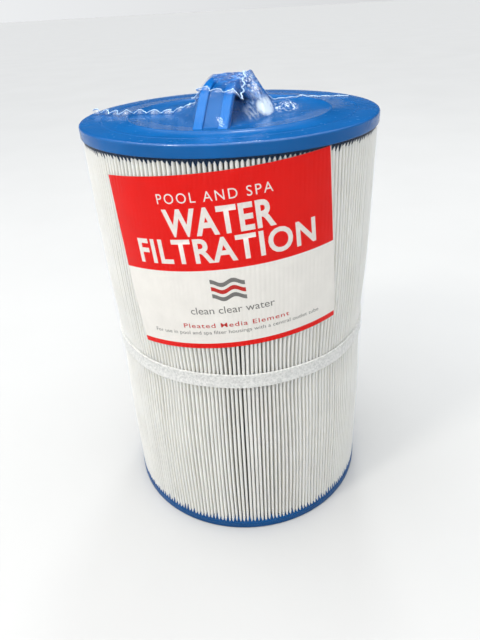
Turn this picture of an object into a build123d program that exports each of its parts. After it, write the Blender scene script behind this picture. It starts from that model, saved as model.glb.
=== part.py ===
from build123d import *
import math
import os

# Pleated water filter cartridge. Millimetres, +Z up, origin at the centre of the base.
# The carrying handle's arch runs along Y, and the label faces -Y.

# Driving dimensions
lid_radius = 114.3
body_height = 346.0
bottom_cap_radius = 113.6
pleat_outer_radius = 113.0
pleat_inner_radius = 45.0
pleat_count = 210
media_thickness = 0.45
core_outer_radius = 43.5
core_wall = 3.0
bore_radius = 38.1

# Top end cap
lid_thickness = 8.5
lid_edge_radius = 1.2
lid_groove_radius = 97.9
lid_groove_depth = 0.8
lid_ridge_radius = 78.5
lid_ridge_height = 0.8
lid_ridge_bead = 1.8
meniscus_radius = pleat_outer_radius - 1.0
meniscus_inner_radius = core_outer_radius - core_wall
top_meniscus = 3.2

# Bottom end cap
bottom_cap_thickness = 7.5
bottom_meniscus = 1.5
collar_radius = 49.0
collar_height = 12.0
bottom_edge_radius = 1.0
underside_recess_inner = 58.0
underside_recess_outer = 98.0
underside_recess_depth = 1.0

# Media and core: how deep their ends stand in the two cast caps
embed_depth = 4.0
outer_fold_radius = 0.85
inner_fold_radius = 0.33

# Core windows
window_columns = 12
window_rows = 22
window_width = 14.0
window_height = 9.0
window_pitch = 14.0

# Handle
handle_width = 24.5
handle_rise = 24.5
handle_rib_width = 7.0
handle_rib_thickness = 5.5
handle_web_recess = 1.8
handle_web_thickness = 3.0
crest_radius = 188.0
crest_half_angle = 8.0
shoulder_radius = 52.0
leg_angle = 34.0
anchor_depth = 4.0
anchor_length = 13.0
rib_edge_radius = 0.9

# Band and label
band_height = 11.7
band_top = body_height - 172.5
band_thickness = 0.4
band_gap = 0.15
band_lap_angle = 12.0
label_width = 162.0
label_height = 129.5
label_thickness = 0.2
label_gap = 0.15
label_tilt = 5.3
label_azimuth = 7.5
label_centre = body_height - 81.0

# Seam of the pleat pack
seam_width = 1.0
seam_depth = 12.0
seam_outer_radius = 109.5

# Shrink film
film_thickness = 0.3
film_gap = 0.3
film_hem = 3.0
tent_foot_radius = 80.0
tent_half_length = 32.0
tent_half_width = 14.0
tent_rise = 26.6

BASE = (Align.CENTER, Align.CENTER, Align.MIN)


def disc(radius, low, high):
    """A solid cylinder between two heights."""
    return Pos(0, 0, low) * Cylinder(radius, high - low, align=BASE)


def ring(inner, outer, low, high):
    """A flat-ended tube between two heights."""
    return disc(outer, low, high) - disc(inner, low - 1, high + 1)


def polar(radius, angle):
    """A point in the XY plane, with the angle in radians."""
    return (radius * math.cos(angle), radius * math.sin(angle))


def turned(point, angle):
    """The point turned about the axis."""
    x, y = point
    c, s = math.cos(angle), math.sin(angle)
    return (c * x - s * y, s * x + c * y)


def mirrored(point):
    """The point mirrored in the X axis."""
    return (point[0], -point[1])


def pleat_outline(side):
    """Closed outline of the folded media, offset from its middle surface.

    side is +1 for the water side and -1 for the core side. Each pleat is an outer fold,
    a flat wall, an inner fold and another flat wall, all tangent to each other.
    """
    offset = side * media_thickness / 2
    half_pitch = math.pi / pleat_count
    outer_r = outer_fold_radius + offset
    inner_r = inner_fold_radius - offset
    outer_centre = pleat_outer_radius - outer_fold_radius - media_thickness / 2
    inner_centre = pleat_inner_radius + inner_fold_radius + media_thickness / 2

    # The wall is the inner tangent of the two fold circles
    ox, oy = polar(outer_centre, 0)
    ix, iy = polar(inner_centre, half_pitch)
    span = math.hypot(ix - ox, iy - oy)
    ex, ey = (ix - ox) / span, (iy - oy) / span
    sine = (outer_fold_radius + inner_fold_radius) / span
    cosine = math.sqrt(1 - sine * sine)
    nx, ny = ex * sine + ey * cosine, ey * sine - ex * cosine

    outer_end = (ox + outer_r * nx, oy + outer_r * ny)
    inner_start = turned((ix - inner_r * nx, iy - inner_r * ny), -half_pitch)
    outer_tip = (outer_centre + outer_r, 0)
    inner_tip = (inner_centre - inner_r, 0)

    edges = []
    for number in range(pleat_count):
        here = 2 * half_pitch * number
        there = here + half_pitch
        after = here + 2 * half_pitch
        a = turned(mirrored(outer_end), here)
        b = turned(outer_end, here)
        c = turned(inner_start, there)
        d = turned(mirrored(inner_start), there)
        e = turned(mirrored(outer_end), after)
        edges.append(Edge.make_three_point_arc(a, turned(outer_tip, here), b))
        edges.append(Edge.make_line(b, c))
        edges.append(Edge.make_three_point_arc(c, turned(inner_tip, there), d))
        edges.append(Edge.make_line(d, e))
    return Wire(edges)


def pleated_media():
    """The pleated sheet, closed into a ring, with its ends inside both caps."""
    section = Face(pleat_outline(1), [pleat_outline(-1)])
    height = body_height - lid_thickness + embed_depth - (bottom_cap_thickness - embed_depth)
    return Pos(0, 0, bottom_cap_thickness - embed_depth) * extrude(section, amount=height)


def pleat_seam():
    """The bonding bead that joins the two ends of the pleated sheet, in one rear valley."""
    valley = (pleat_count // 4 + 0.5) * 360 / pleat_count
    low = bottom_cap_thickness - embed_depth
    high = body_height - lid_thickness + embed_depth
    bead = Pos(seam_outer_radius - seam_depth / 2, 0, low) * Box(
        seam_depth, seam_width, high - low, align=BASE
    )
    return Rot(0, 0, valley) * bead


def core_tube():
    """The perforated tube that the pleats lean on and the clean water runs through."""
    low = bottom_cap_thickness - embed_depth
    high = body_height - lid_thickness + embed_depth
    tube = ring(core_outer_radius - core_wall, core_outer_radius, low, high)
    first = (low + high - (window_rows - 1) * window_pitch) / 2
    cutters = []
    for row in range(window_rows):
        for pair in range(window_columns // 2):
            bar = Box(3 * core_outer_radius, window_width, window_height)
            turn = Rot(0, 0, pair * 360 / window_columns)
            cutters.append(Pos(0, 0, first + row * window_pitch) * turn * bar)
    return tube - cutters


def top_end_cap():
    """The cast lid: a disc with a groove, a low ridge and a skirt between the pleats."""
    face = body_height
    lid = disc(lid_radius, face - lid_thickness, face)
    lid = fillet(lid.edges().group_by(Axis.Z)[-1], lid_edge_radius)
    lid += ring(
        meniscus_inner_radius, meniscus_radius, face - lid_thickness - top_meniscus, face - 1
    )
    lid -= Pos(0, 0, face) * Torus(lid_groove_radius, lid_groove_depth)
    ridge_centre = face + lid_ridge_height - lid_ridge_bead
    lid += Pos(0, 0, ridge_centre) * Torus(lid_ridge_radius, lid_ridge_bead)
    return lid


def bottom_end_cap():
    """The cast base: a ring with a central slip-fit bore and a collar around the core."""
    cap = disc(bottom_cap_radius, 0, bottom_cap_thickness)
    cap = fillet(cap.edges().group_by(Axis.Z)[0], bottom_edge_radius)
    cap += disc(meniscus_radius, 1, bottom_cap_thickness + bottom_meniscus)
    cap += disc(collar_radius, 1, collar_height)
    cap -= disc(bore_radius, -1, collar_height + 1)
    cap -= ring(underside_recess_inner, underside_recess_outer, -1, underside_recess_depth)
    return cap


def arch_edges(depth):
    """Half of the arch's line at a depth below its top, from the crest to the lid face."""
    crest_r = crest_radius - depth
    shoulder_r = shoulder_radius - depth
    a, b = math.radians(crest_half_angle), math.radians(leg_angle)
    top = handle_rise - depth
    crest_end = (crest_r * math.sin(a), top - crest_r * (1 - math.cos(a)))
    crest_middle = (crest_r * math.sin(a / 2), top - crest_r * (1 - math.cos(a / 2)))

    def shoulder(angle):
        return (
            crest_end[0] + shoulder_r * (math.sin(angle) - math.sin(a)),
            crest_end[1] - shoulder_r * (math.cos(a) - math.cos(angle)),
        )

    leg_start = shoulder(b)
    leg_end = (leg_start[0] + (leg_start[1] + 1) / math.tan(b), -1.0)
    return [(0, top), crest_middle, crest_end, shoulder((a + b) / 2), leg_start, leg_end]


def arch_slab(upper, lower, width):
    """The arch between two depths, extruded symmetrically across its width."""
    outline = []
    for depth in (upper, lower):
        crest, crest_mid, crest_end, bend_mid, leg_start, leg_end = arch_edges(depth)
        for sign in (1, -1):
            points = [(sign * y, z) for y, z in (crest, crest_mid, crest_end)]
            outline.append(Edge.make_three_point_arc(*points))
            points = [(sign * y, z) for y, z in (crest_end, bend_mid, leg_start)]
            outline.append(Edge.make_three_point_arc(*points))
            outline.append(Edge.make_line((sign * leg_start[0], leg_start[1]),
                                          (sign * leg_end[0], leg_end[1])))
    for sign in (1, -1):
        upper_end, lower_end = arch_edges(upper)[-1], arch_edges(lower)[-1]
        outline.append(Edge.make_line((sign * upper_end[0], upper_end[1]),
                                      (sign * lower_end[0], lower_end[1])))
    flat = Face(Wire.combine(outline)[0])
    slab = extrude(flat, amount=width / 2, both=True)
    upright = Plane(origin=(0, 0, body_height), x_dir=(0, 1, 0), z_dir=(1, 0, 0))
    return upright.location * slab


def handle():
    """The moulded carrying handle: two ribs joined by a recessed web, on two anchors."""
    rib_place = (handle_width - handle_rib_width) / 2
    rib = arch_slab(0, handle_rib_thickness, handle_rib_width)
    tops = rib.edges().filter_by(lambda e: e.center().Z > body_height + 1)
    tops = tops.filter_by(lambda e: abs(abs(e.center().X) - handle_rib_width / 2) < 0.01)
    rib = fillet(tops, rib_edge_radius)
    web = arch_slab(handle_web_recess, handle_web_recess + handle_web_thickness,
                    handle_width - handle_rib_width)
    body = Pos(rib_place, 0, 0) * rib + Pos(-rib_place, 0, 0) * rib + web
    outer_foot = arch_edges(0)[-1][0]
    for sign in (1, -1):
        place = Pos(0, sign * (outer_foot - anchor_length / 2), body_height - anchor_depth)
        body += place * Box(handle_width, anchor_length, anchor_depth, align=BASE)
    return body


def centre_band():
    """The fabric band around the middle of the pleats, with its ends lapped at the rear."""
    inner = pleat_outer_radius + band_gap
    outer = inner + band_thickness
    band = ring(inner, outer, band_top - band_height, band_top)
    lap = ring(outer, outer + band_thickness, band_top - band_height, band_top)
    reach = 2 * lid_radius
    half = reach * math.tan(math.radians(band_lap_angle / 2))
    wedge = Polyline((0, 0), (-half, reach), (half, reach), close=True)
    lap &= Pos(0, 0, band_top - band_height) * extrude(make_face(wedge), amount=band_height)
    return band + lap


def label():
    """A thin rectangular label, set a little crooked and wrapped round the pleat tips."""
    radius = pleat_outer_radius + label_gap
    tilt = math.radians(label_tilt)
    columns, rows = 17, 7
    grid = []
    for i in range(columns):
        line = []
        for j in range(rows):
            u = label_width * (i / (columns - 1) - 0.5)
            v = label_height * (j / (rows - 1) - 0.5)
            along = u * math.cos(tilt) - v * math.sin(tilt)
            up = u * math.sin(tilt) + v * math.cos(tilt)
            angle = along / radius + math.radians(label_azimuth) - math.pi / 2
            line.append((*polar(radius, angle), label_centre + up))
        grid.append(line)
    sheet = Face.make_surface_from_array_of_points(grid)
    return Solid.thicken(sheet, label_thickness)


def film_volume(grow):
    """The space that the film encloses: a sleeve with a low tent over the handle."""
    radius = lid_radius + film_gap + grow
    top = body_height + film_gap + lid_ridge_height + grow
    sleeve = disc(radius, film_hem, top)
    foot = Plane.XY.offset(top) * Circle(tent_foot_radius + grow)
    crest = Plane.XY.offset(body_height + tent_rise + grow) * SlotOverall(
        2 * (tent_half_length + grow), 2 * (tent_half_width + grow), rotation=90
    )
    return sleeve + loft([foot, crest])


def shrink_film():
    """The clear film shrunk round the cartridge, open below the base's edge."""
    hollow = film_volume(0) + disc(lid_radius + film_gap, film_hem - 1, film_hem + 1)
    return film_volume(film_thickness) - hollow


def main():
    """Write every sub-part to its own STEP file."""
    os.makedirs("parts", exist_ok=True)
    pieces = {
        "top_end_cap": top_end_cap(),
        "handle": handle(),
        "bottom_end_cap": bottom_end_cap(),
        "pleated_media": pleated_media(),
        "pleat_seam": pleat_seam(),
        "core_tube": core_tube(),
        "centre_band": centre_band(),
        "label": label(),
        "shrink_film": shrink_film(),
    }
    for name, piece in pieces.items():
        export_step(piece, f"parts/{name}.step")


main()
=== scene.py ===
import math

import bmesh
import bpy
import numpy as np
from mathutils import Matrix, Vector


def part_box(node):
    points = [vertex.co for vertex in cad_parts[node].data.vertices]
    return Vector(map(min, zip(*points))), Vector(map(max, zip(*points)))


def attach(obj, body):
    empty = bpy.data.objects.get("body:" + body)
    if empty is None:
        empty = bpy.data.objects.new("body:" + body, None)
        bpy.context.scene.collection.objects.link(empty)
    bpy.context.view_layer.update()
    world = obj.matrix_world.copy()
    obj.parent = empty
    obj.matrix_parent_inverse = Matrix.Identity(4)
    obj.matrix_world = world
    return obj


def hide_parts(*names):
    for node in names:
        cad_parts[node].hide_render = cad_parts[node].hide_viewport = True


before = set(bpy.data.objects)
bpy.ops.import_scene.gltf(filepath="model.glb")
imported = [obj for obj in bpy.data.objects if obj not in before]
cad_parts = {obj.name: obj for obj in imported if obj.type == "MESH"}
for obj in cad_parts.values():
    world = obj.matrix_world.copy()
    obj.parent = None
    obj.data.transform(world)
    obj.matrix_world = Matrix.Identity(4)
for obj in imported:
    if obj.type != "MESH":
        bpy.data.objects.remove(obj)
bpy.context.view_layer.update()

MM = 0.001
TAU = 2 * math.pi

# ---------------------------------------------------------------- sizes from the frame

CAP_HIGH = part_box("top_end_cap")[1]
BASE_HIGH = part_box("bottom_end_cap")[1]
BAND_LOW, BAND_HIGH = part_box("centre_band")
MEDIA_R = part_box("pleated_media")[1].x
CORE_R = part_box("core_tube")[1].x

LID_R = CAP_HIGH.x
RIDGE_HEIGHT = 0.8 * MM
FACE_Z = CAP_HIGH.z - RIDGE_HEIGHT
RIM_Z = FACE_Z - 8.5 * MM
BASE_R = BASE_HIGH.x
BASE_TOP = 7.5 * MM
BAND_MID = (BAND_LOW.z + BAND_HIGH.z) / 2
BAND_TALL = BAND_HIGH.z - BAND_LOW.z

# Pleats
PLEATS = 210
INNER_TURN = 0.6 * MM
INNER_FOLD_R = 45.0 * MM
INNER_HALF = 0.50 * MM
OUTER_HALF = 1.08 * MM
WAIST = 2.6 * MM
WAIST_REACH = 46 * MM

# Handle, along Y
HANDLE_HALF_WIDTH = 12.25 * MM
CREST_R, CREST_ANGLE = 188 * MM, math.radians(8)
SHOULDER_R, LEG_ANGLE = 52 * MM, math.radians(34)
HANDLE_RISE = 24.5 * MM

# Label
LABEL_W, LABEL_H = 162 * MM, 129.5 * MM
LABEL_TILT = math.radians(5.3)
LABEL_TURN = math.radians(7.5)
LABEL_Z = FACE_Z - 81 * MM
RED_FOOT = -1.0 * MM
STRIPE = 4.3 * MM
EDGE_LINE = 0.7 * MM
LABEL_LIFT = 0.25 * MM
LABEL_THICK = 0.12 * MM
PRINT_LIFT = 0.17 * MM
PRINT_STRIP = 2 * MM
FONT_CAPITAL = 0.73

# Lid
RIDGE_R = 78.5 * MM
GROOVE_R = 97.9 * MM
GROOVE_HALF, GROOVE_DEPTH = 0.8 * MM, 0.35 * MM
LID_EDGE = 1.5 * MM
LOWER_EDGE = 0.8 * MM
BEAD_R = 1.8 * MM

# Base
BORE_R, COLLAR_R = 38.1 * MM, 49 * MM
RECESS_IN, RECESS_OUT, RECESS_DEPTH = 58 * MM, 98 * MM, 1 * MM

# Loose film beside the handle: (middle, reach) of ellipsoids over the lid's face, in millimetres
HEAP = ((9, 4, 14), (26, 44, 21))
# Painted highlights on the crumpled film: streaks of glints, a white highlight patch and spots of
# glints, all drawn as white milk.
GLINT_STREAKS = ((25, -30, 8), (8, 30, 13))
PAINTED_HIGHLIGHT_PATCH = ((28, -16, 4), (9, 20, 9))
GLINT_SPOTS = (((44, 3, 5), (13, 22, 10)), ((16, -12, 17), (10, 16, 12)))

# How finely the round pieces are divided
LATHE_TURNS = 256
BAND_TURNS = 720
FILM_TURNS = 480
TOOTH_STEPS = 8
SEAM_POINTS = 700

VIEW_TURN = math.radians(11.3)
RANDOM = np.random.default_rng(7)


# ---------------------------------------------------------------- camera

def make_camera():
    """A phone's view from in front and above, a little rolled."""
    distance, height = 436.67 * MM, 69.66 * MM
    turn, tilt, roll = VIEW_TURN + 0.0016, -0.5354, -0.0574
    place = Vector((distance * math.sin(VIEW_TURN), -distance * math.cos(VIEW_TURN),
                    FACE_Z + height))
    ahead = Vector((-math.sin(turn) * math.cos(tilt), math.cos(turn) * math.cos(tilt),
                    math.sin(tilt)))
    level = Vector((math.cos(turn), math.sin(turn), 0))
    up = level.cross(ahead)
    right = math.cos(roll) * level + math.sin(roll) * up
    top = -math.sin(roll) * level + math.cos(roll) * up
    data = bpy.data.cameras.new("camera")
    data.sensor_width = 36
    data.lens = 29.75
    data.clip_start = 0.01
    camera = bpy.data.objects.new("camera", data)
    bpy.context.scene.collection.objects.link(camera)
    camera.matrix_world = Matrix((
        (right.x, top.x, -ahead.x, place.x),
        (right.y, top.y, -ahead.y, place.y),
        (right.z, top.z, -ahead.z, place.z),
        (0, 0, 0, 1)))
    bpy.context.scene.camera = camera


# ---------------------------------------------------------------- materials

def linear(red, green, blue):
    """A display colour, 0 to 255, as linear light with full alpha."""
    def one(value):
        value /= 255
        return value / 12.92 if value <= 0.04045 else ((value + 0.055) / 1.055) ** 2.4
    return (one(red), one(green), one(blue), 1.0)


class Nodes:
    """A material's node tree with short ways to add and join nodes."""

    def __init__(self, name):
        self.material = bpy.data.materials.new(name)
        self.material.use_nodes = True
        self.tree = self.material.node_tree
        self.tree.nodes.clear()
        self.output = self.add("ShaderNodeOutputMaterial")
        self.coords = self.add("ShaderNodeTexCoord").outputs["Object"]

    def add(self, kind, **inputs):
        node = self.tree.nodes.new(kind)
        for key, value in inputs.items():
            socket = node.inputs[key.replace("_", " ")]
            if isinstance(value, bpy.types.NodeSocket):
                self.tree.links.new(value, socket)
            else:
                socket.default_value = value
        return node

    def shader(self, **inputs):
        node = self.add("ShaderNodeBsdfPrincipled", **inputs)
        self.tree.links.new(node.outputs[0], self.output.inputs[0])
        return node

    def noise(self, scale, detail=3.0, rough=0.55, vector=None, distort=0.0):
        node = self.add("ShaderNodeTexNoise", Vector=vector or self.coords, Scale=scale,
                        Detail=detail, Roughness=rough, Distortion=distort)
        return node.outputs["Fac"]

    def stretched(self, x, y, z):
        """Object coordinates scaled differently along each axis."""
        node = self.add("ShaderNodeMapping", Vector=self.coords, Scale=(x, y, z))
        return node.outputs[0]

    def math(self, operation, a, b=0.5, clamp=False):
        node = self.tree.nodes.new("ShaderNodeMath")
        node.operation = operation
        node.use_clamp = clamp
        for socket, value in zip(node.inputs, (a, b)):
            if isinstance(value, bpy.types.NodeSocket):
                self.tree.links.new(value, socket)
            else:
                socket.default_value = value
        return node.outputs[0]

    def ramp(self, factor, *stops):
        """A colour ramp with (position, colour) stops."""
        node = self.add("ShaderNodeValToRGB", Fac=factor)
        ramp = node.color_ramp
        while len(ramp.elements) < len(stops):
            ramp.elements.new(0.5)
        for element, (position, colour) in zip(ramp.elements, stops):
            element.position = position
            element.color = colour
        return node.outputs[0]

    def range(self, value, low, high, to_low, to_high):
        node = self.add("ShaderNodeMapRange", Value=value)
        for key, number in (("From Min", low), ("From Max", high),
                            ("To Min", to_low), ("To Max", to_high)):
            node.inputs[key].default_value = number
        return node.outputs[0]

    def bump(self, height, distance, strength=1.0, normal=None):
        node = self.add("ShaderNodeBump", Height=height, Distance=distance, Strength=strength)
        if normal is not None:
            self.tree.links.new(normal, node.inputs["Normal"])
        return node.outputs[0]

    def soft_step(self, value, low, high):
        """0 up to one value and 1 from another, with a smooth change between them."""
        node = self.add("ShaderNodeMapRange", Value=value)
        node.interpolation_type = "SMOOTHSTEP"
        node.inputs["From Min"].default_value = min(low, high)
        node.inputs["From Max"].default_value = max(low, high)
        node.inputs["To Min"].default_value = 0.0 if low < high else 1.0
        node.inputs["To Max"].default_value = 1.0 if low < high else 0.0
        return node.outputs[0]

    def within(self, middle, reach, outer, inner):
        """1 inside an ellipsoid over the lid's face and 0 outside, with sizes in millimetres.

        outer and inner are where the change starts and ends, as shares of the reach.
        """
        x, y, z = middle
        moved = self.add("ShaderNodeVectorMath", Vector=self.coords)
        moved.operation = "SUBTRACT"
        moved.inputs[1].default_value = (x * MM, y * MM, FACE_Z + z * MM)
        scaled = self.add("ShaderNodeVectorMath", Vector=moved.outputs[0])
        scaled.operation = "DIVIDE"
        scaled.inputs[1].default_value = [v * MM for v in reach]
        size = self.add("ShaderNodeVectorMath", Vector=scaled.outputs[0])
        size.operation = "LENGTH"
        return self.soft_step(size.outputs["Value"], outer, inner)

    def blend_shaders(self, factor, first, second):
        node = self.add("ShaderNodeMixShader", Fac=factor)
        self.tree.links.new(first.outputs[0], node.inputs[1])
        self.tree.links.new(second.outputs[0], node.inputs[2])
        return node

    def turn_angle(self):
        """The angle round the upright axis, in radians."""
        split = self.add("ShaderNodeSeparateXYZ", Vector=self.coords)
        return self.math("ARCTAN2", split.outputs["Y"], split.outputs["X"])


class WorldNodes(Nodes):
    """The same short ways for the world's tree, where the coordinates are a direction."""

    def __init__(self, world):
        world.use_nodes = True
        self.tree = world.node_tree
        self.coords = self.add("ShaderNodeTexCoord").outputs["Generated"]

    def towards(self, direction):
        """The cosine of the angle from a direction."""
        node = self.add("ShaderNodeVectorMath", Vector=self.coords)
        node.operation = "DOT_PRODUCT"
        node.inputs[1].default_value = direction
        return node.outputs["Value"]


def cast_material(name, deep, bright, roughness):
    """Glossy cast plastic: faint cloudiness, small moulding ripples and a few fine pits."""
    n = Nodes(name)
    cloud = n.noise(22, 4, 0.6)
    colour = n.ramp(cloud, (0.3, deep), (0.72, bright))
    ripple = n.noise(46, 2, 0.5)
    grain = n.noise(1500, 2, 0.6)
    normal = n.bump(grain, 0.00004, 0.5, n.bump(ripple, 0.0011, 0.3))
    rough = n.range(n.noise(160, 4, 0.7), 0.3, 0.75, roughness * 0.75, roughness * 1.4)
    n.shader(Base_Color=colour, Roughness=rough, Normal=normal, IOR=1.24)
    return n.material


def media_material():
    """Spunbond polyester: flattened fibres, bond dimples and a soft uneven white."""
    n = Nodes("media_cloth")
    blotch = n.noise(30, 3, 0.6)
    colour = n.ramp(blotch, (0.25, (0.74, 0.73, 0.685, 1)), (0.75, (0.83, 0.82, 0.77, 1)))
    fibres = n.noise(420, 5, 0.75, n.stretched(1, 1, 0.35), 1.2)
    dimples = n.add("ShaderNodeTexVoronoi", Vector=n.coords, Scale=620).outputs["Distance"]
    normal = n.bump(dimples, 0.00012, 0.35, n.bump(fibres, 0.0004, 0.55))
    n.shader(Base_Color=colour, Roughness=0.9, Normal=normal, IOR=1.3, Subsurface_Weight=0.7,
             Subsurface_Radius=(1.0, 0.95, 0.85), Subsurface_Scale=0.003)
    return n.material


def band_material():
    """The band's open knit: a fine uneven mesh, a little shinier than the pleats."""
    n = Nodes("band_cloth")
    knit = n.noise(560, 3, 0.65)
    tone = n.ramp(knit, (0.36, (0.60, 0.60, 0.57, 1)), (0.62, (0.84, 0.83, 0.79, 1)))
    normal = n.bump(knit, 0.0006, 0.5)
    n.shader(Base_Color=tone, Roughness=0.6, Normal=normal, Sheen_Weight=0.15)
    return n.material


def print_material(name, colour):
    """Coated label stock: printed colour with faint mottling, ribbed by the pleats behind it."""
    n = Nodes(name)
    darker = tuple(0.93 * c for c in colour[:3]) + (1.0,)
    tone = n.ramp(n.noise(70, 4, 0.6), (0.3, darker), (0.7, colour))
    ribs = n.math("SINE", n.math("MULTIPLY", n.turn_angle(), float(PLEATS)))
    slack = n.math("MULTIPLY", ribs, n.range(n.noise(26, 2), 0.35, 0.7, 0.1, 1.0))
    paper = n.noise(1400, 3, 0.6)
    normal = n.bump(paper, 0.00005, 0.4, n.bump(slack, 0.00016, 0.6))
    n.shader(Base_Color=tone, Roughness=0.38, Normal=normal, IOR=1.22)
    return n.material


def ink_material(name, colour):
    """A printed ink on the label stock."""
    n = Nodes(name)
    darker = tuple(0.9 * c for c in colour[:3]) + (1.0,)
    tone = n.ramp(n.noise(300, 3, 0.6), (0.35, darker), (0.65, colour))
    ribs = n.math("SINE", n.math("MULTIPLY", n.turn_angle(), float(PLEATS)))
    n.shader(Base_Color=tone, Roughness=0.4, Normal=n.bump(ribs, 0.0001, 0.5), IOR=1.3)
    return n.material


def core_material():
    """Moulded white plastic with a little grain."""
    n = Nodes("core_plastic")
    tone = n.ramp(n.noise(60, 3), (0.3, (0.70, 0.70, 0.69, 1)), (0.7, (0.80, 0.80, 0.79, 1)))
    n.shader(Base_Color=tone, Roughness=n.range(n.noise(300), 0.3, 0.7, 0.3, 0.5),
             Normal=n.bump(n.noise(900, 3), 0.0001, 0.3))
    return n.material


def glue_material():
    """Clear-yellow hot melt."""
    n = Nodes("hot_melt")
    tone = n.ramp(n.noise(200, 2), (0.3, (0.75, 0.70, 0.52, 1)), (0.7, (0.85, 0.81, 0.66, 1)))
    n.shader(Base_Color=tone, Roughness=0.3, Normal=n.bump(n.noise(500, 3), 0.0004, 0.5))
    return n.material


def film_material(name, gloss, slant, haze, crinkle, roughness=0.07, loose=False,
                  milk_colour=(0.8, 0.87, 0.95, 1)):
    """Clear film: see-through, with gloss that grows towards grazing angles and a milky haze.

    gloss is the mirror share seen square on, and slant what grazing angles add to it. haze is the
    milk's share. loose film, over the lid, also has its packed folds by the handle coloured, with
    painted shade in their creases and painted highlights.
    """
    n = Nodes(name)
    creases = n.noise(190, 4, 0.62)
    broad = n.noise(34, 2, 0.5)
    even_normal = n.bump(creases, crinkle, 0.6, n.bump(broad, crinkle * 3, 0.5))
    normal = even_normal
    cloud = n.range(n.noise(60, 3, 0.6), 0.3, 0.75, haze * 0.4, haze * 1.6)
    if loose:
        cloud, packed, milk_colour = loose_look(n, cloud)
        sharp = n.add("ShaderNodeBump", Height=n.noise(330, 3, 0.7), Distance=0.0012,
                      Strength=packed, Normal=normal)
        normal = sharp.outputs[0]
        gloss = n.math("ADD", n.math("MULTIPLY", packed, 0.08), gloss)
    facing = n.add("ShaderNodeLayerWeight", Blend=0.5, Normal=normal).outputs["Facing"]
    steep = n.math("MULTIPLY", n.math("POWER", facing, 4.0), slant)
    share = n.math("ADD", steep, gloss, True)
    clear = n.add("ShaderNodeBsdfTransparent", Color=(0.985, 0.99, 1.0, 1))
    mirror = n.add("ShaderNodeBsdfGlossy", Color=(1, 1, 1, 1), Roughness=roughness, Normal=normal)
    milk = n.add("ShaderNodeBsdfDiffuse", Color=milk_colour, Normal=even_normal)
    milky = n.blend_shaders(cloud, clear, milk)
    n.tree.links.new(n.blend_shaders(share, milky, mirror).outputs[0], n.output.inputs[0])
    return n.material


def loose_look(n, cloud):
    """Share and colour of the milk where the film is loose, and how packed its folds are; its white
    marks are painted highlights.
    """
    split = n.add("ShaderNodeSeparateXYZ", Vector=n.coords)
    flat = n.add("ShaderNodeCombineXYZ", X=split.outputs["X"], Y=split.outputs["Y"])
    radius = n.add("ShaderNodeVectorMath", Vector=flat.outputs[0])
    radius.operation = "LENGTH"
    inside = n.soft_step(radius.outputs["Value"], RIDGE_R + 2 * MM, RIDGE_R - 24 * MM)
    cloud = n.math("MULTIPLY", cloud, n.range(inside, 0, 1, 0.25, 1.0))
    packed = n.within(*HEAP, 1.05, 0.85)
    # The streaks, the patch and the spots are painted highlights: white milk where light glints on
    # the crinkled film.
    glint_streaks = n.range(n.noise(240, 3, 0.65, n.stretched(1, 1, 0.35)), 0.4, 0.68, 0, 0.75)
    glint_streaks = n.math("MULTIPLY", glint_streaks, n.within(*GLINT_STREAKS, 1.15, 0.3))
    glint_specks = n.range(n.noise(380, 3, 0.7), 0.5, 0.64, 0, 0.8)
    highlight_mottle = n.range(n.noise(200, 3, 0.6), 0.3, 0.48, 0.5, 1.0)
    white = n.math("MULTIPLY", n.within(*PAINTED_HIGHLIGHT_PATCH, 1.15, 0.65), highlight_mottle)
    for place in GLINT_SPOTS:
        glinting = n.math("MULTIPLY", n.within(*place, 1.15, 0.6), glint_specks)
        white = n.math("MAXIMUM", white, glinting)
    cloud = n.math("MAXIMUM", cloud, n.math("MULTIPLY", packed, 0.72))
    cloud = n.math("MAXIMUM", n.math("MAXIMUM", cloud, glint_streaks), white)
    # The fold colours are the lid's blue seen through the packed film, with painted shade in the
    # creases from the darkest stops and painted highlights on the crests from the palest.
    folds = n.ramp(n.noise(150, 5, 0.75), (0.36, linear(0, 60, 128)), (0.5, linear(10, 90, 166)),
                   (0.62, linear(44, 128, 204)), (0.72, linear(180, 212, 244)))
    tint = n.add("ShaderNodeMix")
    tint.data_type = "RGBA"
    tint.inputs["A"].default_value = (0.78, 0.89, 1.0, 1)
    n.tree.links.new(folds, tint.inputs["B"])
    # pale is the share of painted highlight, which keeps those places white.
    pale = n.math("ADD", n.math("MULTIPLY", white, 1.4), n.math("MULTIPLY", glint_streaks, 0.6))
    deep = n.math("SUBTRACT", n.within(*HEAP, 1.5, 1.05), pale, True)
    n.tree.links.new(deep, tint.inputs["Factor"])
    return cloud, packed, tint.outputs["Result"]


# ---------------------------------------------------------------- mesh helpers

def grid_faces(rows, columns, wrap_rows=False, wrap_columns=False):
    """Quads that join a grid of points stored row by row."""
    r = np.arange(rows if wrap_rows else rows - 1)
    c = np.arange(columns if wrap_columns else columns - 1)
    r, c = np.meshgrid(r, c, indexing="ij")
    r2, c2 = (r + 1) % rows, (c + 1) % columns
    quads = np.stack([r * columns + c, r * columns + c2, r2 * columns + c2, r2 * columns + c], -1)
    return quads.reshape(-1, 4).tolist()


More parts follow.
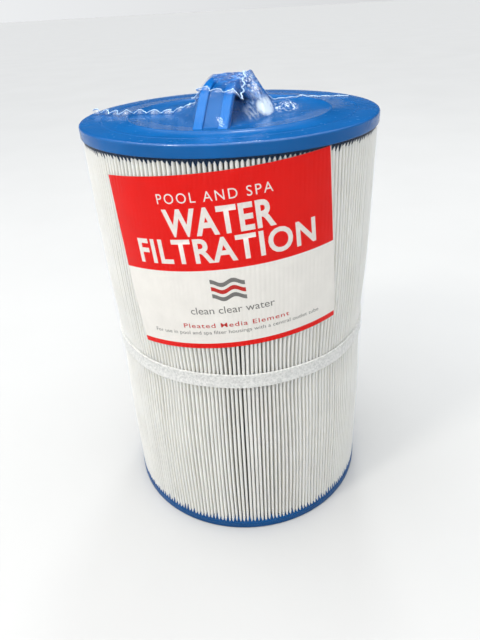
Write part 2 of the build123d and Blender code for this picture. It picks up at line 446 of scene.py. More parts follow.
def make_piece(name, points, faces, materials, smooth):
    """A mesh piece that rides on the root body, with the points that meet at a pole merged.

    smooth is the angle of a sharp edge, or None where every edge is smooth.
    """
    mesh = bpy.data.meshes.new(name)
    mesh.from_pydata(np.asarray(points, float).reshape(-1, 3).tolist(), [], faces)
    tidy = bmesh.new()
    tidy.from_mesh(mesh)
    bmesh.ops.remove_doubles(tidy, verts=tidy.verts, dist=1e-7)
    tidy.to_mesh(mesh)
    tidy.free()
    mesh.shade_smooth()
    if smooth is not None:
        mesh.set_sharp_from_angle(angle=smooth)
    for material in materials:
        mesh.materials.append(material)
    piece = bpy.data.objects.new(name, mesh)
    bpy.context.scene.collection.objects.link(piece)
    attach(piece, "root")
    return piece


def turns_of(count):
    """Angles all the way round, in equal steps."""
    return np.arange(count) * TAU / count


def around(radius, height, angle):
    """Points at a radius, height and angle round the axis."""
    return np.stack(np.broadcast_arrays(radius * np.cos(angle), radius * np.sin(angle), height), -1)


def lathe(profile):
    """Points and faces of a profile of (radius, height) turned about the axis."""
    profile = np.array(profile, float)
    points = around(profile[:, :1], profile[:, 1:], turns_of(LATHE_TURNS))
    return points, grid_faces(len(profile), LATHE_TURNS, False, True)


def arc(centre, radius, start, end, steps):
    """Profile points round a corner, with angles in degrees from +radius."""
    return [(centre[0] + radius * math.cos(math.radians(a)),
             centre[1] + radius * math.sin(math.radians(a)))
            for a in np.linspace(start, end, steps)]


def smooth_noise(count, period, strength, seed):
    """A smooth closed random curve: count samples with bumps about period samples long."""
    source = np.random.default_rng(seed)
    waves = max(2, int(count / period))
    angle = turns_of(count)
    total = np.zeros(count)
    for k in range(1, waves + 1):
        total += source.normal() * np.cos(k * angle + source.uniform(0, TAU))
    return strength * total / math.sqrt(waves / 2)


# ---------------------------------------------------------------- pleats

def waist(z):
    """How far the pleats are drawn in by the band at a height."""
    return WAIST * np.exp(-((z - BAND_MID) / WAIST_REACH) ** 2)


def tip_radius(z):
    """Radius of the pleat tips at a height."""
    return MEDIA_R - waist(z)


def pleat_levels():
    """Heights of the cross-sections, closer together near the caps and the band."""
    low, high = BASE_TOP - 2 * MM, RIM_Z + 2 * MM
    even = np.linspace(low, high, 30)
    near_band = BAND_MID + np.array([-30, -18, -9, -4, 4, 9, 18, 30]) * MM
    ends = np.array([low + 5 * MM, high - 5 * MM])
    return np.unique(np.concatenate([even, near_band, ends]))


def calm(z):
    """0 where the caps hold the pleats, rising to 1 a few centimetres away."""
    top = np.clip((RIM_Z - z) / (45 * MM), 0, 1)
    foot = np.clip((z - BASE_TOP) / (45 * MM), 0, 1)
    return np.minimum(top, foot) ** 0.7


def make_pleats(material):
    """The folded media: 210 deep pleats, drawn in by the band and a little uneven."""
    z = pleat_levels()
    pitch = TAU / PLEATS
    lean = np.zeros((len(z), PLEATS))
    depth = np.zeros((len(z), PLEATS))
    for k in range(1, 5):
        wave = np.sin(np.outer(k * math.pi * (z - z[0]) / (z[-1] - z[0]), np.ones(PLEATS))
                      + RANDOM.uniform(0, TAU, PLEATS))
        lean += wave * RANDOM.normal(0, 1, PLEATS) / k
        depth += wave * RANDOM.normal(0, 1, PLEATS) / k
    drift = np.array([smooth_noise(PLEATS, 9, 1, 30 + i) for i in range(3)])
    mix = np.stack([np.sin(math.pi * (z - z[0]) / (z[-1] - z[0]) * (i + 1)) for i in range(3)])
    lean = 0.12 * MM * lean + 0.30 * MM * (mix.T @ drift)
    depth = -0.12 * MM * np.abs(depth)
    hold = calm(z)[:, None] * (1 - 0.7 * np.exp(-((z - BAND_MID) / (9 * MM)) ** 2))[:, None]
    lean, depth = lean * hold, depth * hold
    fat = 1 + 0.10 * RANDOM.normal(0, 1, PLEATS)

    tip = tip_radius(z)[:, None] + depth
    half = OUTER_HALF * np.clip(fat, 0.75, 1.2) * (tip / MEDIA_R)
    centre = tip - half
    zero = np.zeros_like(tip)
    fold = INNER_FOLD_R + INNER_TURN + zero
    section = [(fold, -INNER_HALF + zero, 0.0), (centre, -half, 1.0)]
    for a in (-55, -25, 0, 25, 55):
        radians = math.radians(a)
        section.append((centre + half * math.cos(radians), half * math.sin(radians), 1.0))
    section += [(centre, half, 1.0), (fold, INNER_HALF + zero, 0.0)]

    middle = (np.arange(PLEATS) * pitch)[None, :]
    radius = zero + INNER_FOLD_R
    valley = middle - pitch / 2
    columns = [np.stack([radius * np.cos(valley), radius * np.sin(valley)], -1)]
    for radius, across, free in section:
        across = across + lean * free
        x = radius * np.cos(middle) - across * np.sin(middle)
        y = radius * np.sin(middle) + across * np.cos(middle)
        columns.append(np.stack([x, y], -1))
    flat = np.stack(columns, 2).reshape(len(z), -1, 2)
    points = np.concatenate([flat, np.repeat(z[:, None, None], flat.shape[1], 1)], -1)
    faces = grid_faces(len(z), flat.shape[1], False, True)
    piece = make_piece("media_pleats", points, faces, [material], math.radians(60))
    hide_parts("pleated_media")


# ---------------------------------------------------------------- cast caps

def lid_profile():
    """Section of the lid, from the middle of its face round to the middle underneath."""
    profile = [(0.0, FACE_Z), (30 * MM, FACE_Z), (60 * MM, FACE_Z)]
    spread = math.degrees(math.acos((BEAD_R - RIDGE_HEIGHT) / BEAD_R))
    profile += arc((RIDGE_R, FACE_Z + RIDGE_HEIGHT - BEAD_R), BEAD_R, 90 + spread, 90 - spread, 9)
    profile += [(GROOVE_R + GROOVE_HALF * math.cos(t), FACE_Z + GROOVE_DEPTH * math.sin(t))
                for t in np.linspace(math.pi, TAU, 9)]
    profile += arc((LID_R - LID_EDGE, FACE_Z - LID_EDGE), LID_EDGE, 90, 0, 9)
    profile += arc((LID_R - LOWER_EDGE, RIM_Z + LOWER_EDGE), LOWER_EDGE, 0, -90, 5)
    profile += [(MEDIA_R - 4 * MM, RIM_Z), (CORE_R, RIM_Z), (0.0, RIM_Z)]
    return profile


def make_lid(material):
    """The top cap, with its ridge, groove and rounded rim."""
    points, faces = lathe(lid_profile())
    lid = make_piece("lid", points, faces, [material], math.radians(50))
    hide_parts("top_end_cap")


def make_base(material):
    """The bottom cap: a flat ring round the bore, with a collar that holds the core."""
    edge, chamfer, collar_top = 1.0 * MM, 0.6 * MM, BASE_HIGH.z
    profile = arc((BASE_R - edge, edge), edge, 0, -90, 6)
    profile += [(RECESS_OUT, 0), (RECESS_OUT, RECESS_DEPTH), (RECESS_IN, RECESS_DEPTH),
                (RECESS_IN, 0)]
    profile += [(BORE_R + chamfer, 0), (BORE_R, chamfer), (BORE_R, collar_top - chamfer),
                (BORE_R + chamfer, collar_top), (COLLAR_R, collar_top), (COLLAR_R, BASE_TOP)]
    profile += arc((BASE_R - edge, BASE_TOP - edge), edge, 90, 0, 6)
    profile.append(profile[0])
    points, faces = lathe(profile)
    base = make_piece("base", points, faces, [material], math.radians(50))
    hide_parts("bottom_end_cap")


def make_teeth(name, material, level, way, plain, reach, seed):
    """Cast plastic that crept between the pleats: a ring with a sawtooth edge.

    way is +1 where the teeth point up and -1 where they hang. plain is how far the ring stands
    out of its cap at the pleat tips, and reach how much further it goes between them.
    """
    count = PLEATS * TOOTH_STEPS
    share = (np.arange(count) % TOOTH_STEPS) / TOOTH_STEPS
    gap = 1 - np.abs(1 - 2 * share)
    each = np.random.default_rng(seed).uniform(0.35, 1.45, PLEATS)
    tall = plain + np.repeat(each, TOOTH_STEPS) * gap * reach
    tall += smooth_noise(count, 60, 0.25 * MM, seed) * (0.3 + gap)
    outer = MEDIA_R + 0.25 * MM - 0.5 * MM * gap
    inner = MEDIA_R - 14 * MM
    sunk = level - way * 1.2 * MM
    rows = [(outer, sunk), (outer, level + way * tall * 0.5),
            (outer - 0.25 * MM, level + way * tall), (outer - 0.9 * MM, level + way * tall),
            (outer - 4 * MM, level + way * tall * 0.8), (inner, level + way * tall * 0.5),
            (inner, sunk)]
    points = np.stack([around(r, h, turns_of(count)) for r, h in rows])
    faces = grid_faces(len(rows), count, True, True)
    make_piece(name, points, faces, [material], math.radians(60))


# ---------------------------------------------------------------- handle

def arch(depth):
    """Half of the arch's line, (distance along Y, height), at a depth under its top."""
    steps = 10
    crest, shoulder = CREST_R - depth, SHOULDER_R - depth
    top = FACE_Z + HANDLE_RISE - depth
    line = [(crest * math.sin(a), top - crest * (1 - math.cos(a)))
            for a in np.linspace(0, CREST_ANGLE, steps)]
    y0, z0 = line[-1]
    for a in np.linspace(CREST_ANGLE, LEG_ANGLE, steps)[1:]:
        line.append((y0 + shoulder * (math.sin(a) - math.sin(CREST_ANGLE)),
                     z0 - shoulder * (math.cos(CREST_ANGLE) - math.cos(a))))
    y1, z1 = line[-1]
    for share in np.linspace(0, 1, 7)[1:]:
        fall = (z1 - FACE_Z + 1 * MM) * share
        line.append((y1 + fall / math.tan(LEG_ANGLE), z1 - fall))
    return np.array(line)


def rounded(corners, radii):
    """A closed outline whose corners are replaced by tangent curves."""
    outline = []
    count = len(corners)
    for i in range(count):
        before, here, after = (np.array(corners[(i + k) % count], float) for k in (-1, 0, 1))
        reach = radii[i]
        start = here + reach * (before - here) / np.linalg.norm(before - here)
        end = here + reach * (after - here) / np.linalg.norm(after - here)
        for t in np.linspace(0, 1, 5):
            outline.append((1 - t) ** 2 * start + 2 * t * (1 - t) * here + t * t * end)
    return np.array(outline)


def make_handle(rib_material, web_shade_material):
    """The arch: two raised ribs and a recessed web, swept along its line. The web is coloured
    darker, as painted shade in its recess.
    """
    rib, recess, thick, web = 7.0 * MM, 1.8 * MM, 5.5 * MM, 4.8 * MM
    half = HANDLE_HALF_WIDTH
    inner = half - rib
    corners = [(-half, 0), (-inner, 0), (-inner, recess), (inner, recess), (inner, 0), (half, 0),
               (half, thick), (inner, thick), (inner, web), (-inner, web), (-inner, thick),
               (-half, thick)]
    soft = [1.6, 1.2, 0.7, 0.7, 1.2, 1.6, 0.9, 0.7, 0.3, 0.3, 0.7, 0.9]
    outline = rounded(corners, [v * MM for v in soft])
    lines = {}
    rows = []
    for across, depth in outline:
        key = round(depth / MM, 4)
        if key not in lines:
            half_line = arch(depth)
            lines[key] = np.concatenate([half_line[::-1] * (-1, 1), half_line[1:]])
        line = lines[key]
        rows.append(np.column_stack([np.full(len(line), across), line[:, 0], line[:, 1]]))
    points = np.stack(rows, 1)
    faces = grid_faces(points.shape[0], points.shape[1], False, True)
    count = points.shape[1]
    last = (points.shape[0] - 1) * count
    faces.append(list(range(count)))
    faces.append([last + i for i in reversed(range(count))])
    handle = make_piece("handle_arch", points, faces, [rib_material, web_shade_material],
                        math.radians(40))
    # The web faces take the lid's darker blue: painted shade in the recess between the ribs.
    for polygon in handle.data.polygons:
        middle = polygon.center
        above = handle_top(middle.y) - (middle.z - FACE_Z)
        if abs(middle.x) < inner + 0.2 * MM and above > 1.0 * MM:
            polygon.material_index = 1
    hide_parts("handle")


def handle_top(y):
    """Height above the lid's face of the arch's top at a distance along it."""
    line = arch(0)
    return np.interp(np.abs(y), line[:, 0], line[:, 1] - FACE_Z, right=0.0)


# ---------------------------------------------------------------- band

def make_band(material):
    """The fabric band, pulled tight round the pleats, with its ends lapped at the rear."""
    angle = turns_of(BAND_TURNS)
    sway = smooth_noise(BAND_TURNS, 70, 0.45 * MM, 51)
    frill = smooth_noise(BAND_TURNS, 12, 0.10 * MM, 52)
    inner = tip_radius(BAND_MID) - 0.15 * MM
    thick, cup, edge, flare = 1.15 * MM, 0.5 * MM, 0.5 * MM, 0.25 * MM
    from_rear = np.abs(((angle - math.pi / 2 + math.pi) % TAU) - math.pi)
    lap = np.clip(1 - from_rear / math.radians(6), 0, 0.1) * 10 * 0.5 * MM
    half = BAND_TALL / 2
    outer = inner + thick + lap
    rows = [(inner, -half), (outer + cup * 0.9, -half), (outer + cup, -half + edge),
            (outer + flare, -half * 0.5), (outer, 0), (outer + flare, half * 0.5),
            (outer + cup, half - edge), (outer + cup * 0.9, half), (inner, half)]
    rings = [around(r + frill * (abs(h) / half), BAND_MID + h + sway, angle) for r, h in rows]
    faces = grid_faces(len(rows), BAND_TURNS, True, True)
    band = make_piece("band", np.stack(rings), faces, [material], math.radians(50))
    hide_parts("centre_band")


# ---------------------------------------------------------------- label

def on_label(u, v, lift):
    """Points of the label's own plane, u across and v up, wrapped round the pleat tips."""
    u, v = np.asarray(u, float), np.asarray(v, float)
    along = u * math.cos(LABEL_TILT) - v * math.sin(LABEL_TILT)
    z = LABEL_Z + u * math.sin(LABEL_TILT) + v * math.cos(LABEL_TILT)
    angle = along / MEDIA_R + LABEL_TURN - math.pi / 2
    return around(tip_radius(z) + LABEL_LIFT + lift, z, angle)


def make_label(red, white):
    """The label sheet: a red panel over a white one, with a red stripe at the foot."""
    u = np.append(np.linspace(-LABEL_W / 2, LABEL_W / 2 - EDGE_LINE, 82), LABEL_W / 2)
    v = np.unique(np.concatenate([np.linspace(-LABEL_H / 2 + STRIPE, RED_FOOT, 26),
                                  np.linspace(RED_FOOT, LABEL_H / 2, 30),
                                  [-LABEL_H / 2, -LABEL_H / 2 + STRIPE / 2]]))
    rows, columns = len(v), len(u)
    uu, vv = np.meshgrid(u, v)
    front, back = on_label(uu, vv, LABEL_THICK), on_label(uu, vv, 0)
    points = np.concatenate([front.reshape(-1, 3), back.reshape(-1, 3)])
    faces = grid_faces(rows, columns)
    shift = rows * columns
    faces += [[i + shift for i in reversed(face)] for face in grid_faces(rows, columns)]
    rim = ([(0, c) for c in range(columns)] + [(r, columns - 1) for r in range(1, rows)]
           + [(rows - 1, c) for c in range(columns - 2, -1, -1)]
           + [(r, 0) for r in range(rows - 2, 0, -1)])
    ids = [r * columns + c for r, c in rim]
    for a, b in zip(ids, ids[1:] + ids[:1]):
        faces.append([b, a, a + shift, b + shift])
    label = make_piece("label_sheet", points, faces, [red, white], math.radians(40))
    for number, polygon in enumerate(label.data.polygons):
        row, column = divmod(number, columns - 1)
        is_red = (row < rows - 1 and column < columns - 2
                  and (v[row] > RED_FOOT - 1e-6 or v[row + 1] < -LABEL_H / 2 + STRIPE + 1e-6))
        polygon.material_index = 0 if is_red else 1
    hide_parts("label")


def lettering(name, words, material, width, tall, left, foot, heavy=0.0, spacing=1.0):
    """Printed words on the label, fitted to a width and capital height at (left, foot)."""
    curve = bpy.data.curves.new(name, "FONT")
    curve.body = words
    curve.size = 1.0
    curve.offset = heavy
    curve.space_character = spacing
    curve.resolution_u = 4
    source = bpy.data.objects.new(name + "_source", curve)
    bpy.context.scene.collection.objects.link(source)
    shape = bpy.data.meshes.new_from_object(source.evaluated_get(
        bpy.context.evaluated_depsgraph_get()))
    bpy.data.objects.remove(source)
    co = np.array([v.co for v in shape.vertices], float)
    low, high = co.min(0), co.max(0)
    capital = high[1] if words.upper() == words else FONT_CAPITAL
    co[:, 0] = left + (co[:, 0] - low[0]) * width / (high[0] - low[0])
    co[:, 1] = foot + co[:, 1] * tall / capital
    shape.vertices.foreach_set("co", co.astype(np.float32).ravel())
    wrap_print(name, shape, material)


def wrap_print(name, shape, material):
    """Cuts a flat printed shape into narrow strips and wraps it on the label."""
    work = bmesh.new()
    work.from_mesh(shape)
    co = np.array([v.co for v in work.verts], float)
    first = math.floor(co[:, 0].min() / PRINT_STRIP) * PRINT_STRIP
    for cut in np.arange(first, co[:, 0].max(), PRINT_STRIP):
        bmesh.ops.bisect_plane(work, geom=work.verts[:] + work.edges[:] + work.faces[:],
                               plane_co=(cut, 0, 0), plane_no=(1, 0, 0), dist=1e-7)
    bmesh.ops.triangulate(work, faces=work.faces[:])
    work.to_mesh(shape)
    work.free()
    co = np.array([v.co for v in shape.vertices], float)
    wrapped = on_label(co[:, 0], co[:, 1], PRINT_LIFT)
    shape.vertices.foreach_set("co", wrapped.astype(np.float32).ravel())
    shape.materials.clear()
    shape.materials.append(material)
    shape.shade_smooth()
    shape.name = name
    piece = bpy.data.objects.new(name, shape)
    bpy.context.scene.collection.objects.link(piece)
    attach(piece, "root")


def flat_shape(name, outline):
    """A flat mesh filled inside a closed outline of (u, v) points."""
    work = bmesh.new()
    work.faces.new([work.verts.new((x, y, 0)) for x, y in outline])
    shape = bpy.data.meshes.new(name)
    work.to_mesh(shape)
    work.free()
    return shape


def wave_bar(centre, width, tall, swing):
    """A flat bar with a gentle wave along it."""
    x = np.linspace(-width / 2, width / 2, 24)
    y = swing * np.sin(x / width * TAU * 1.5)
    top = [(centre[0] + a, centre[1] + b + tall / 2) for a, b in zip(x, y)]
    foot = [(centre[0] + a, centre[1] + b - tall / 2) for a, b in zip(x, y)]
    return top + foot[::-1]


def make_print(white, red, grey):
    """Plain words and a plain wave mark, where such a label has its print."""
    lettering("print_kind", "POOL AND SPA", white, 77 * MM, 6.6 * MM, -39.7 * MM, 46.7 * MM,
              0.0, 1.25)
    lettering("print_top_word", "WATER", white, 75 * MM, 18.2 * MM, -38 * MM, 24.9 * MM, 0.03, 1.06)
    lettering("print_main_word", "FILTRATION", white, 129 * MM, 17.2 * MM, -64 * MM, 5.2 * MM,
              0.025, 1.08)
    lettering("print_line", "clean clear water", grey, 61 * MM, 6.0 * MM, -31.5 * MM, -35 * MM)
    lettering("print_use", "Pleated Media Element", red, 79 * MM, 3.9 * MM, -39.7 * MM, -46.6 * MM,
              0.006, 1.15)
    lettering("print_note", "For use in pool and spa filter housings with a central outlet tube",
              grey, 130 * MM, 3.2 * MM, -66 * MM, -52.2 * MM)
    centre = (-1.3 * MM, -16.5 * MM)
    for i, (material, rise) in enumerate(((grey, 5.6), (red, 0.0), (grey, -5.6))):
        outline = wave_bar((centre[0], centre[1] + rise * MM), 24 * MM, 3.2 * MM, 1.5 * MM)
        wrap_print(f"print_wave_{i}", flat_shape(f"wave_{i}", outline), material)


# ---------------------------------------------------------------- film

FILM_STEP = 1.25 * MM
FILM_CELLS = 187
FILM_LIFT = 0.35 * MM
FILM_ROUNDS = 1500
SLEEVE_FOOT = 4 * MM
SLEEVE_OVER_BAND = 2.6 * MM
SLEEVE_GAP = 0.1 * MM
SEAM_PERIOD = 10.5 * MM
BUBBLES = 46
LIP_R = 0.5 * MM
TENT_MIDDLE, TENT_HALF = (-3 * MM, 0 * MM), (39 * MM, 79 * MM)
PEAK = (18.5 * MM, -5 * MM, 28.3 * MM)


def film_field():
    """Height above the lid's face of the film stretched over the handle, on a square grid."""
    line = (np.arange(FILM_CELLS) - FILM_CELLS // 2) * FILM_STEP
    x, y = np.meshgrid(line, line, indexing="ij")
    radius = np.hypot(x, y)
    under = np.full(x.shape, FILM_LIFT)
    over_handle = np.abs(x) < HANDLE_HALF_WIDTH + 0.5 * MM
    under = np.where(over_handle, np.maximum(under, handle_top(y) + FILM_LIFT), under)
    away = np.hypot((x - PEAK[0]) / 0.8, (y - PEAK[1]) / 1.6)
    under = np.maximum(under, PEAK[2] * np.exp(-(away / (9 * MM)) ** 2))
    over_ridge = RIDGE_HEIGHT * np.exp(-((radius - RIDGE_R) / (2.6 * MM)) ** 2)
    under = np.maximum(under, FILM_LIFT + over_ridge)
    stuck = np.hypot((x - TENT_MIDDLE[0]) / TENT_HALF[0], (y - TENT_MIDDLE[1]) / TENT_HALF[1]) > 1
    height = under.copy()
    for _ in range(FILM_ROUNDS):
        mean = (np.roll(height, 1, 0) + np.roll(height, -1, 0)
                + np.roll(height, 1, 1) + np.roll(height, -1, 1)) / 4
        height = np.where(stuck, under, np.maximum(mean, under))
    sag = np.clip((-x - HANDLE_HALF_WIDTH - 1 * MM) / (8 * MM), 0, 1)
    return under + (height - under) * (1 - 0.5 * sag)


def sample(field, x, y):
    """Bilinear reading of a film_field grid."""
    gx = np.clip(x / FILM_STEP + FILM_CELLS // 2, 0, FILM_CELLS - 1.001)
    gy = np.clip(y / FILM_STEP + FILM_CELLS // 2, 0, FILM_CELLS - 1.001)
    i, j = gx.astype(int), gy.astype(int)
    fx, fy = gx - i, gy - j
    return ((field[i, j] * (1 - fx) + field[i + 1, j] * fx) * (1 - fy)
            + (field[i, j + 1] * (1 - fx) + field[i + 1, j + 1] * fx) * fy)


def crumple(x, y, seed, scales):
    """Sharp-edged folds in random directions, about 0 to 1 high, one set for each scale."""
    source = np.random.default_rng(seed)
    total = np.zeros(np.broadcast(x, y).shape)
    weight = 0
    for scale in scales:
        for _ in range(3):
            turn, start = source.uniform(0, TAU, 2)
            bend = 0.35 * np.sin((x * math.sin(turn) - y * math.cos(turn)) / scale + start * 2)
            phase = (x * math.cos(turn) + y * math.sin(turn)) / scale + start + bend
            total += scale * np.abs(2 * (phase / 2 - np.floor(phase / 2 + 0.5)))
            weight += scale
    return total / weight


def wrinkles(x, y):
    """Creases that run from the peak and the handle's feet, folds, bubbles and a soft pillow."""
    def fan(cx, cy, reach, height, folds, seed):
        angle = np.arctan2(y - cy, x - cx)
        distance = np.hypot(x - cx, y - cy)
        source = np.random.default_rng(seed)
        wave = sum(np.cos(folds * m * angle + source.uniform(0, TAU) + distance * 40 * m)
                   / m for m in (1, 1.7, 2.6))
        rise = np.clip(distance / (6 * MM), 0, 1) * np.exp(-(distance / reach) ** 2)
        return height * np.abs(wave) * rise

    def spot(cx, cy, half_x, half_y):
        return np.exp(-((x - cx * MM) / (half_x * MM)) ** 2 - ((y - cy * MM) / (half_y * MM)) ** 2)

    total = fan(PEAK[0], PEAK[1], 30 * MM, 0.7 * MM, 11, 3)
    total += fan(-12 * MM, -60 * MM, 22 * MM, 0.35 * MM, 7, 5)
    total += fan(0, 62 * MM, 26 * MM, 0.4 * MM, 9, 8)
    total += 2.6 * MM * spot(19, -4, 11, 24) * (crumple(x, y, 41, (7 * MM, 3.5 * MM)) - 0.3)
    total += 2.2 * MM * spot(0, 4, 16, 34) * (crumple(x, y, 42, (8 * MM, 4 * MM)) - 0.2)
    total += 6.5 * MM * spot(44, 4, 8, 9) * (0.35 + crumple(x, y, 43, (6 * MM, 3 * MM)))
    total += 1.8 * MM * spot(19, -38, 9, 22) * crumple(x, y, 44, (5 * MM, 2.5 * MM))
    total += 5 * MM * spot(28, -13, 6, 11)
    source = np.random.default_rng(12)
    for _ in range(BUBBLES):
        a, r = source.uniform(math.pi * 0.8, math.pi * 1.12), source.uniform(84, 112) * MM
        size, tall = source.uniform(1.2, 3.2) * MM, source.uniform(0.2, 0.8) * MM
        total += tall * np.exp(-(((x - r * math.cos(a)) ** 2 + (y - r * math.sin(a)) ** 2)
                                 / size ** 2))
    return total


def film_height(field, x, y):
    """Height above the lid's face of the finished film at a place."""
    fade = np.clip((LID_R - np.hypot(x, y)) / (4 * MM), 0, 1)
    return sample(field, x, y) + wrinkles(x, y) * fade


def sleeve_radius(z):
    """The film's radius down the side: it spans from rim to band to base, outside the band."""
    heights = [SLEEVE_FOOT, BASE_TOP, BAND_LOW.z, BAND_HIGH.z, RIM_Z, FACE_Z - LID_EDGE]
    band = tip_radius(BAND_MID) + SLEEVE_OVER_BAND
    base, rim = BASE_R + FILM_LIFT, LID_R + FILM_LIFT
    radii = [base, base, band, band, rim, rim]
    return np.interp(z, heights, radii)


def make_film(lid_film, rim_film, side_film, field):
    """The film in three stretches: over the lid and handle, round the rim, and down the side."""
    angle = turns_of(FILM_TURNS)
    radii = np.concatenate([np.linspace(0, 50 * MM, 70), np.linspace(51 * MM, LID_R - 2 * MM, 52)])
    rr, aa = np.meshgrid(radii, angle, indexing="ij")
    x, y = rr * np.cos(aa), rr * np.sin(aa)
    top = np.stack([x, y, FACE_Z + film_height(field, x, y)], -1)
    edge, bend = LID_EDGE, LID_EDGE + FILM_LIFT
    curl = [(LID_R - edge + bend * math.sin(t), FACE_Z - edge + bend * math.cos(t))
            for t in np.linspace(0.15, math.pi / 2, 6)]
    rolled = np.stack([around(r, h, angle) for r, h in curl])
    film = make_piece("film_over_lid", top, grid_faces(len(top), FILM_TURNS, False, True),
                      [lid_film], None)
    # Its milky folds would darken the lid under them more than the real film does.
    film.visible_shadow = False
    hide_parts("shrink_film")
    roll = np.concatenate([top[-1:], rolled])
    make_piece("film_rim", roll, grid_faces(len(roll), FILM_TURNS, False, True), [rim_film],
               None)

    z = np.linspace(FACE_Z - LID_EDGE, SLEEVE_FOOT, 60)
    ripple = smooth_noise(FILM_TURNS, 20, 0.12 * MM, 71)
    slack = np.sin(np.linspace(0, math.pi * 2, len(z)))[:, None] ** 2
    r = sleeve_radius(z)[:, None] + slack * (ripple[None, :] + SLEEVE_GAP)
    over_print = tip_radius(z) + LABEL_LIFT + PRINT_LIFT + SLEEVE_GAP
    r = np.maximum(r, over_print[:, None])
    side = around(r, z[:, None], angle)
    make_piece("film_sleeve", side, grid_faces(len(z), FILM_TURNS, False, True), [side_film],
               None)


def seam_line(control, count):
    """A smooth line through a few places on the lid, as count points."""
    control = np.array(control, float) * MM
    reach = np.concatenate([[0], np.cumsum(np.hypot(*np.diff(control, axis=0).T))])
    at = np.linspace(0, reach[-1], count)
    x, y = np.interp(at, reach, control[:, 0]), np.interp(at, reach, control[:, 1])
    kernel = np.hanning(31) / np.hanning(31).sum()
    padded_x, padded_y = np.pad(x, 15, "edge"), np.pad(y, 15, "edge")
    return np.convolve(padded_x, kernel, "valid"), np.convolve(padded_y, kernel, "valid"), at


def make_seam(name, fin_film, lip_film, field, control, tall, ruffle, seed, fade):
    """The heat-sealed edge: a low ruffled fin on the film, with a lip, fading to its far end."""
    x, y, at = seam_line(control, SEAM_POINTS)
    dx, dy = np.gradient(x), np.gradient(y)
    size = np.hypot(dx, dy)
    nx, ny = -dy / size, dx / size
    source = np.random.default_rng(seed)
    phase = TAU * at / SEAM_PERIOD + 1.2 * np.sin(at / (17 * MM)) + source.uniform(0, TAU)
    loop = np.sin(phase) + 0.35 * np.sin(2.3 * phase + 1)
    height = tall * (0.35 + 0.65 * np.abs(np.sin(phase / 2 + 0.6))) * (1 - fade * at / at[-1])
    base = FACE_Z + film_height(field, x, y)
    rows = []
    for share in np.linspace(0, 1, 7):
        side = ruffle * loop * share ** 1.5
        fine = 0.25 * MM * np.sin(phase * 5.3) * share
        rows.append(np.stack([x + nx * (side + fine), y + ny * (side + fine),
                              base + height * share - 0.1 * MM], -1))
    fin = np.stack(rows)
    lip = fin[-1]
    bead = []
    for a in np.linspace(0, TAU, 7)[:-1]:
        bead.append(np.stack([lip[:, 0] + nx * LIP_R * math.cos(a),
                              lip[:, 1] + ny * LIP_R * math.cos(a),
                              lip[:, 2] + LIP_R * math.sin(a)], -1))
    bead = np.stack(bead)
    make_piece(name, fin, grid_faces(len(rows), SEAM_POINTS), [fin_film], None)
    make_piece(name + "_lip", bead, grid_faces(len(bead), SEAM_POINTS, True, False), [lip_film],
               None)


# ---------------------------------------------------------------- light and floor

def area_light(name, place, target, size, power, colour):
    """A rectangular light at a place, turned to a target."""
    data = bpy.data.lights.new(name, "AREA")
    data.shape = "RECTANGLE"
    data.size, data.size_y = size
    data.energy = power
    data.color = colour
    lamp = bpy.data.objects.new(name, data)
    bpy.context.scene.collection.objects.link(lamp)
    lamp.location = place
    lamp.rotation_euler = (Vector(target) - Vector(place)).to_track_quat("-Z", "Y").to_euler()


def from_view(turn, rise, distance):
    """A place given by its angle to the right of the camera and its height angle."""
    a = VIEW_TURN + math.radians(turn)
    e = math.radians(rise)
    return Vector((math.sin(a) * math.cos(e), -math.cos(a) * math.cos(e), math.sin(e))) * distance


def make_light():
    """Soft window light from the left, a cooler fill from the right, and a ceiling light."""
    aim = Vector((0, 0, FACE_Z * 0.6))
    area_light("window_left", aim + from_view(-52, 48, 1.7), aim, (0.22, 0.30), 8.1,
               (1.0, 0.955, 0.89))
    area_light("window_right", aim + from_view(50, 50, 1.7), aim, (0.20, 0.25), 0.8,
               (0.93, 0.99, 1.0))
    area_light("ceiling", aim + from_view(170, 62, 1.9), aim, (0.25, 0.25), 6.0, (0.97, 1.0, 1.0))


def make_world():
    """Surroundings, brighter overhead and to the left, with a dark screen behind the object.

    The lid is seen at a grazing angle, and mirrors the screen, so its blue keeps its depth. The
    screen starts above the horizon, so that the floor meets a pale background.
    """
    world = bpy.data.worlds.new("surroundings")
    bpy.context.scene.world = world
    n = WorldNodes(world)
    height = n.add("ShaderNodeSeparateXYZ", Vector=n.coords).outputs["Z"]
    levels = ((0.0, 0.8), (0.05, 0.8), (0.12, 0.3), (0.45, 0.2), (0.78, 2.4), (1.0, 2.5))
    shade = n.ramp(height, *((place, (0.97 * level, 0.985 * level, level, 1))
                             for place, level in levels))
    screen = n.add("ShaderNodeMapRange", Value=n.towards(from_view(180, 14, 1.0)),
                   From_Min=0.70, From_Max=0.93, To_Max=n.range(height, 0.04, 0.09, 0, 1))
    screen.interpolation_type = "SMOOTHSTEP"
    mix = n.add("ShaderNodeMix")
    mix.data_type = "RGBA"
    mix.inputs["B"].default_value = (0.03, 0.035, 0.045, 1)
    n.tree.links.new(screen.outputs[0], mix.inputs["Factor"])
    n.tree.links.new(shade, mix.inputs["A"])
    strength = n.range(n.towards(from_view(-90, 0, 1.0)), -1, 1, 0.66, 1.3)
    background = n.tree.nodes["Background"]
    n.tree.links.new(strength, background.inputs["Strength"])
    n.tree.links.new(mix.outputs["Result"], background.inputs["Color"])
    bpy.context.scene.view_settings.view_transform = "Standard"


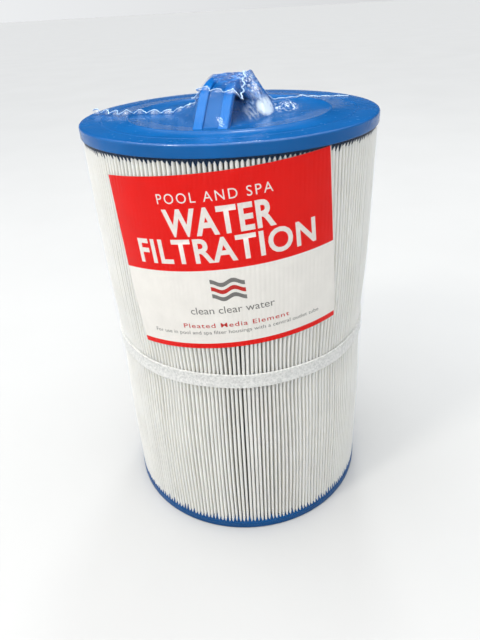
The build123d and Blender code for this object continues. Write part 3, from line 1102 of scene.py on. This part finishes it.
def make_floor():
    """A plain pale floor, just under the foot and wide enough to reach the horizon."""
    n = Nodes("floor")
    tone = n.ramp(n.noise(3, 3), (0.3, (0.55, 0.55, 0.545, 1)), (0.7, (0.57, 0.57, 0.565, 1)))
    n.shader(Base_Color=tone, Roughness=0.7)
    mesh = bpy.data.meshes.new("floor")
    half, z = 80.0, -0.3 * MM
    mesh.from_pydata([(-half, -half, z), (half, -half, z), (half, half, z), (-half, half, z)], [],
                     [[0, 1, 2, 3]])
    mesh.materials.append(n.material)
    floor = bpy.data.objects.new("floor", mesh)
    bpy.context.scene.collection.objects.link(floor)


# ---------------------------------------------------------------- the whole

def finish_cad_node(name, material):
    """Gives a carried-over CAD node its material."""
    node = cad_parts[name]
    node.data.materials.clear()
    node.data.materials.append(material)


def main():
    make_camera()
    cast = cast_material("cast_blue", linear(0, 86, 152), linear(2, 98, 170), 0.22)
    # A very dark copy of the cap blue for the ring under the lid: painted shade under the rim's
    # overhang.
    painted_shade_cast = cast_material("cast_blue_painted_shade", linear(0, 26, 48), linear(2, 40, 70), 0.4)
    arch_blue = cast_material("handle_blue", linear(0, 102, 180), linear(0, 112, 194), 0.3)
    make_pleats(media_material())
    make_lid(cast)
    # The ring under the lid is partly cast that crept between the pleats and partly a dark skirt
    # outside the pleat tips, standing in for the shade under the rim.
    make_teeth("lid_teeth", painted_shade_cast, RIM_Z, -1, 1.5 * MM, 2.8 * MM, 21)
    # A darker copy of the cap blue for the base cap and its teeth: painted shade low down and
    # between the pleats.
    shaded_base_cast = cast_material("cast_blue_foot_shaded", linear(0, 66, 120), linear(3, 80, 140), 0.4)
    make_base(shaded_base_cast)
    make_teeth("base_teeth", shaded_base_cast, BASE_TOP, 1, 0.2 * MM, 5.2 * MM, 22)
    # The handle's web gets the lid blue, darker than the ribs, as painted shade in its recess.
    make_handle(arch_blue, cast)
    make_band(band_material())
    finish_cad_node("core_tube", core_material())
    finish_cad_node("pleat_seam", glue_material())

    red = print_material("print_red_stock", linear(230, 14, 5))
    white = print_material("print_white_stock", linear(240, 236, 228))
    make_label(red, white)
    make_print(ink_material("ink_white", linear(238, 230, 222)),
               ink_material("ink_red", linear(196, 40, 32)),
               ink_material("ink_grey", linear(120, 118, 114)))

    field = film_field()
    make_film(film_material("film_clear", 0.008, 0.07, 0.013, 0.00035, 0.06, loose=True),
              film_material("film_tight", 0.035, 0.08, 0.002, 0.0002, 0.12),
              film_material("film_side", 0.004, 0.07, 0.003, 0.0002), field)
    fin_film = film_material("film_seal_fin", 0.05, 0.25, 0.24, 0.0004, 0.14)
    lip_film = film_material("film_seal_lip", 0.15, 0.2, 0.9, 0.0004, 0.14,
                             milk_colour=(0.52, 0.74, 0.97, 1))
    make_seam("film_seam_left", fin_film, lip_film, field,
              [(-110, -6), (-103, -4), (-90, -10), (-80, -14), (-68, -8), (-56, -10), (-47, -9),
               (-36, -13), (-27, -18), (-20, -25), (-14, -36), (0, -41), (12, -43), (18, -41)],
              3.6 * MM, 2.1 * MM, 4, 0.45)
    make_seam("film_seam_right", fin_film, lip_film, field,
              [(18, -41), (17, -28), (15, -12), (14, 10), (17, 30), (26, 46), (50, 58), (92, 56)],
              1.1 * MM, 0.9 * MM, 9, 0.6)
    make_light()
    make_world()
    make_floor()


main()
bpy.context.view_layer.update()
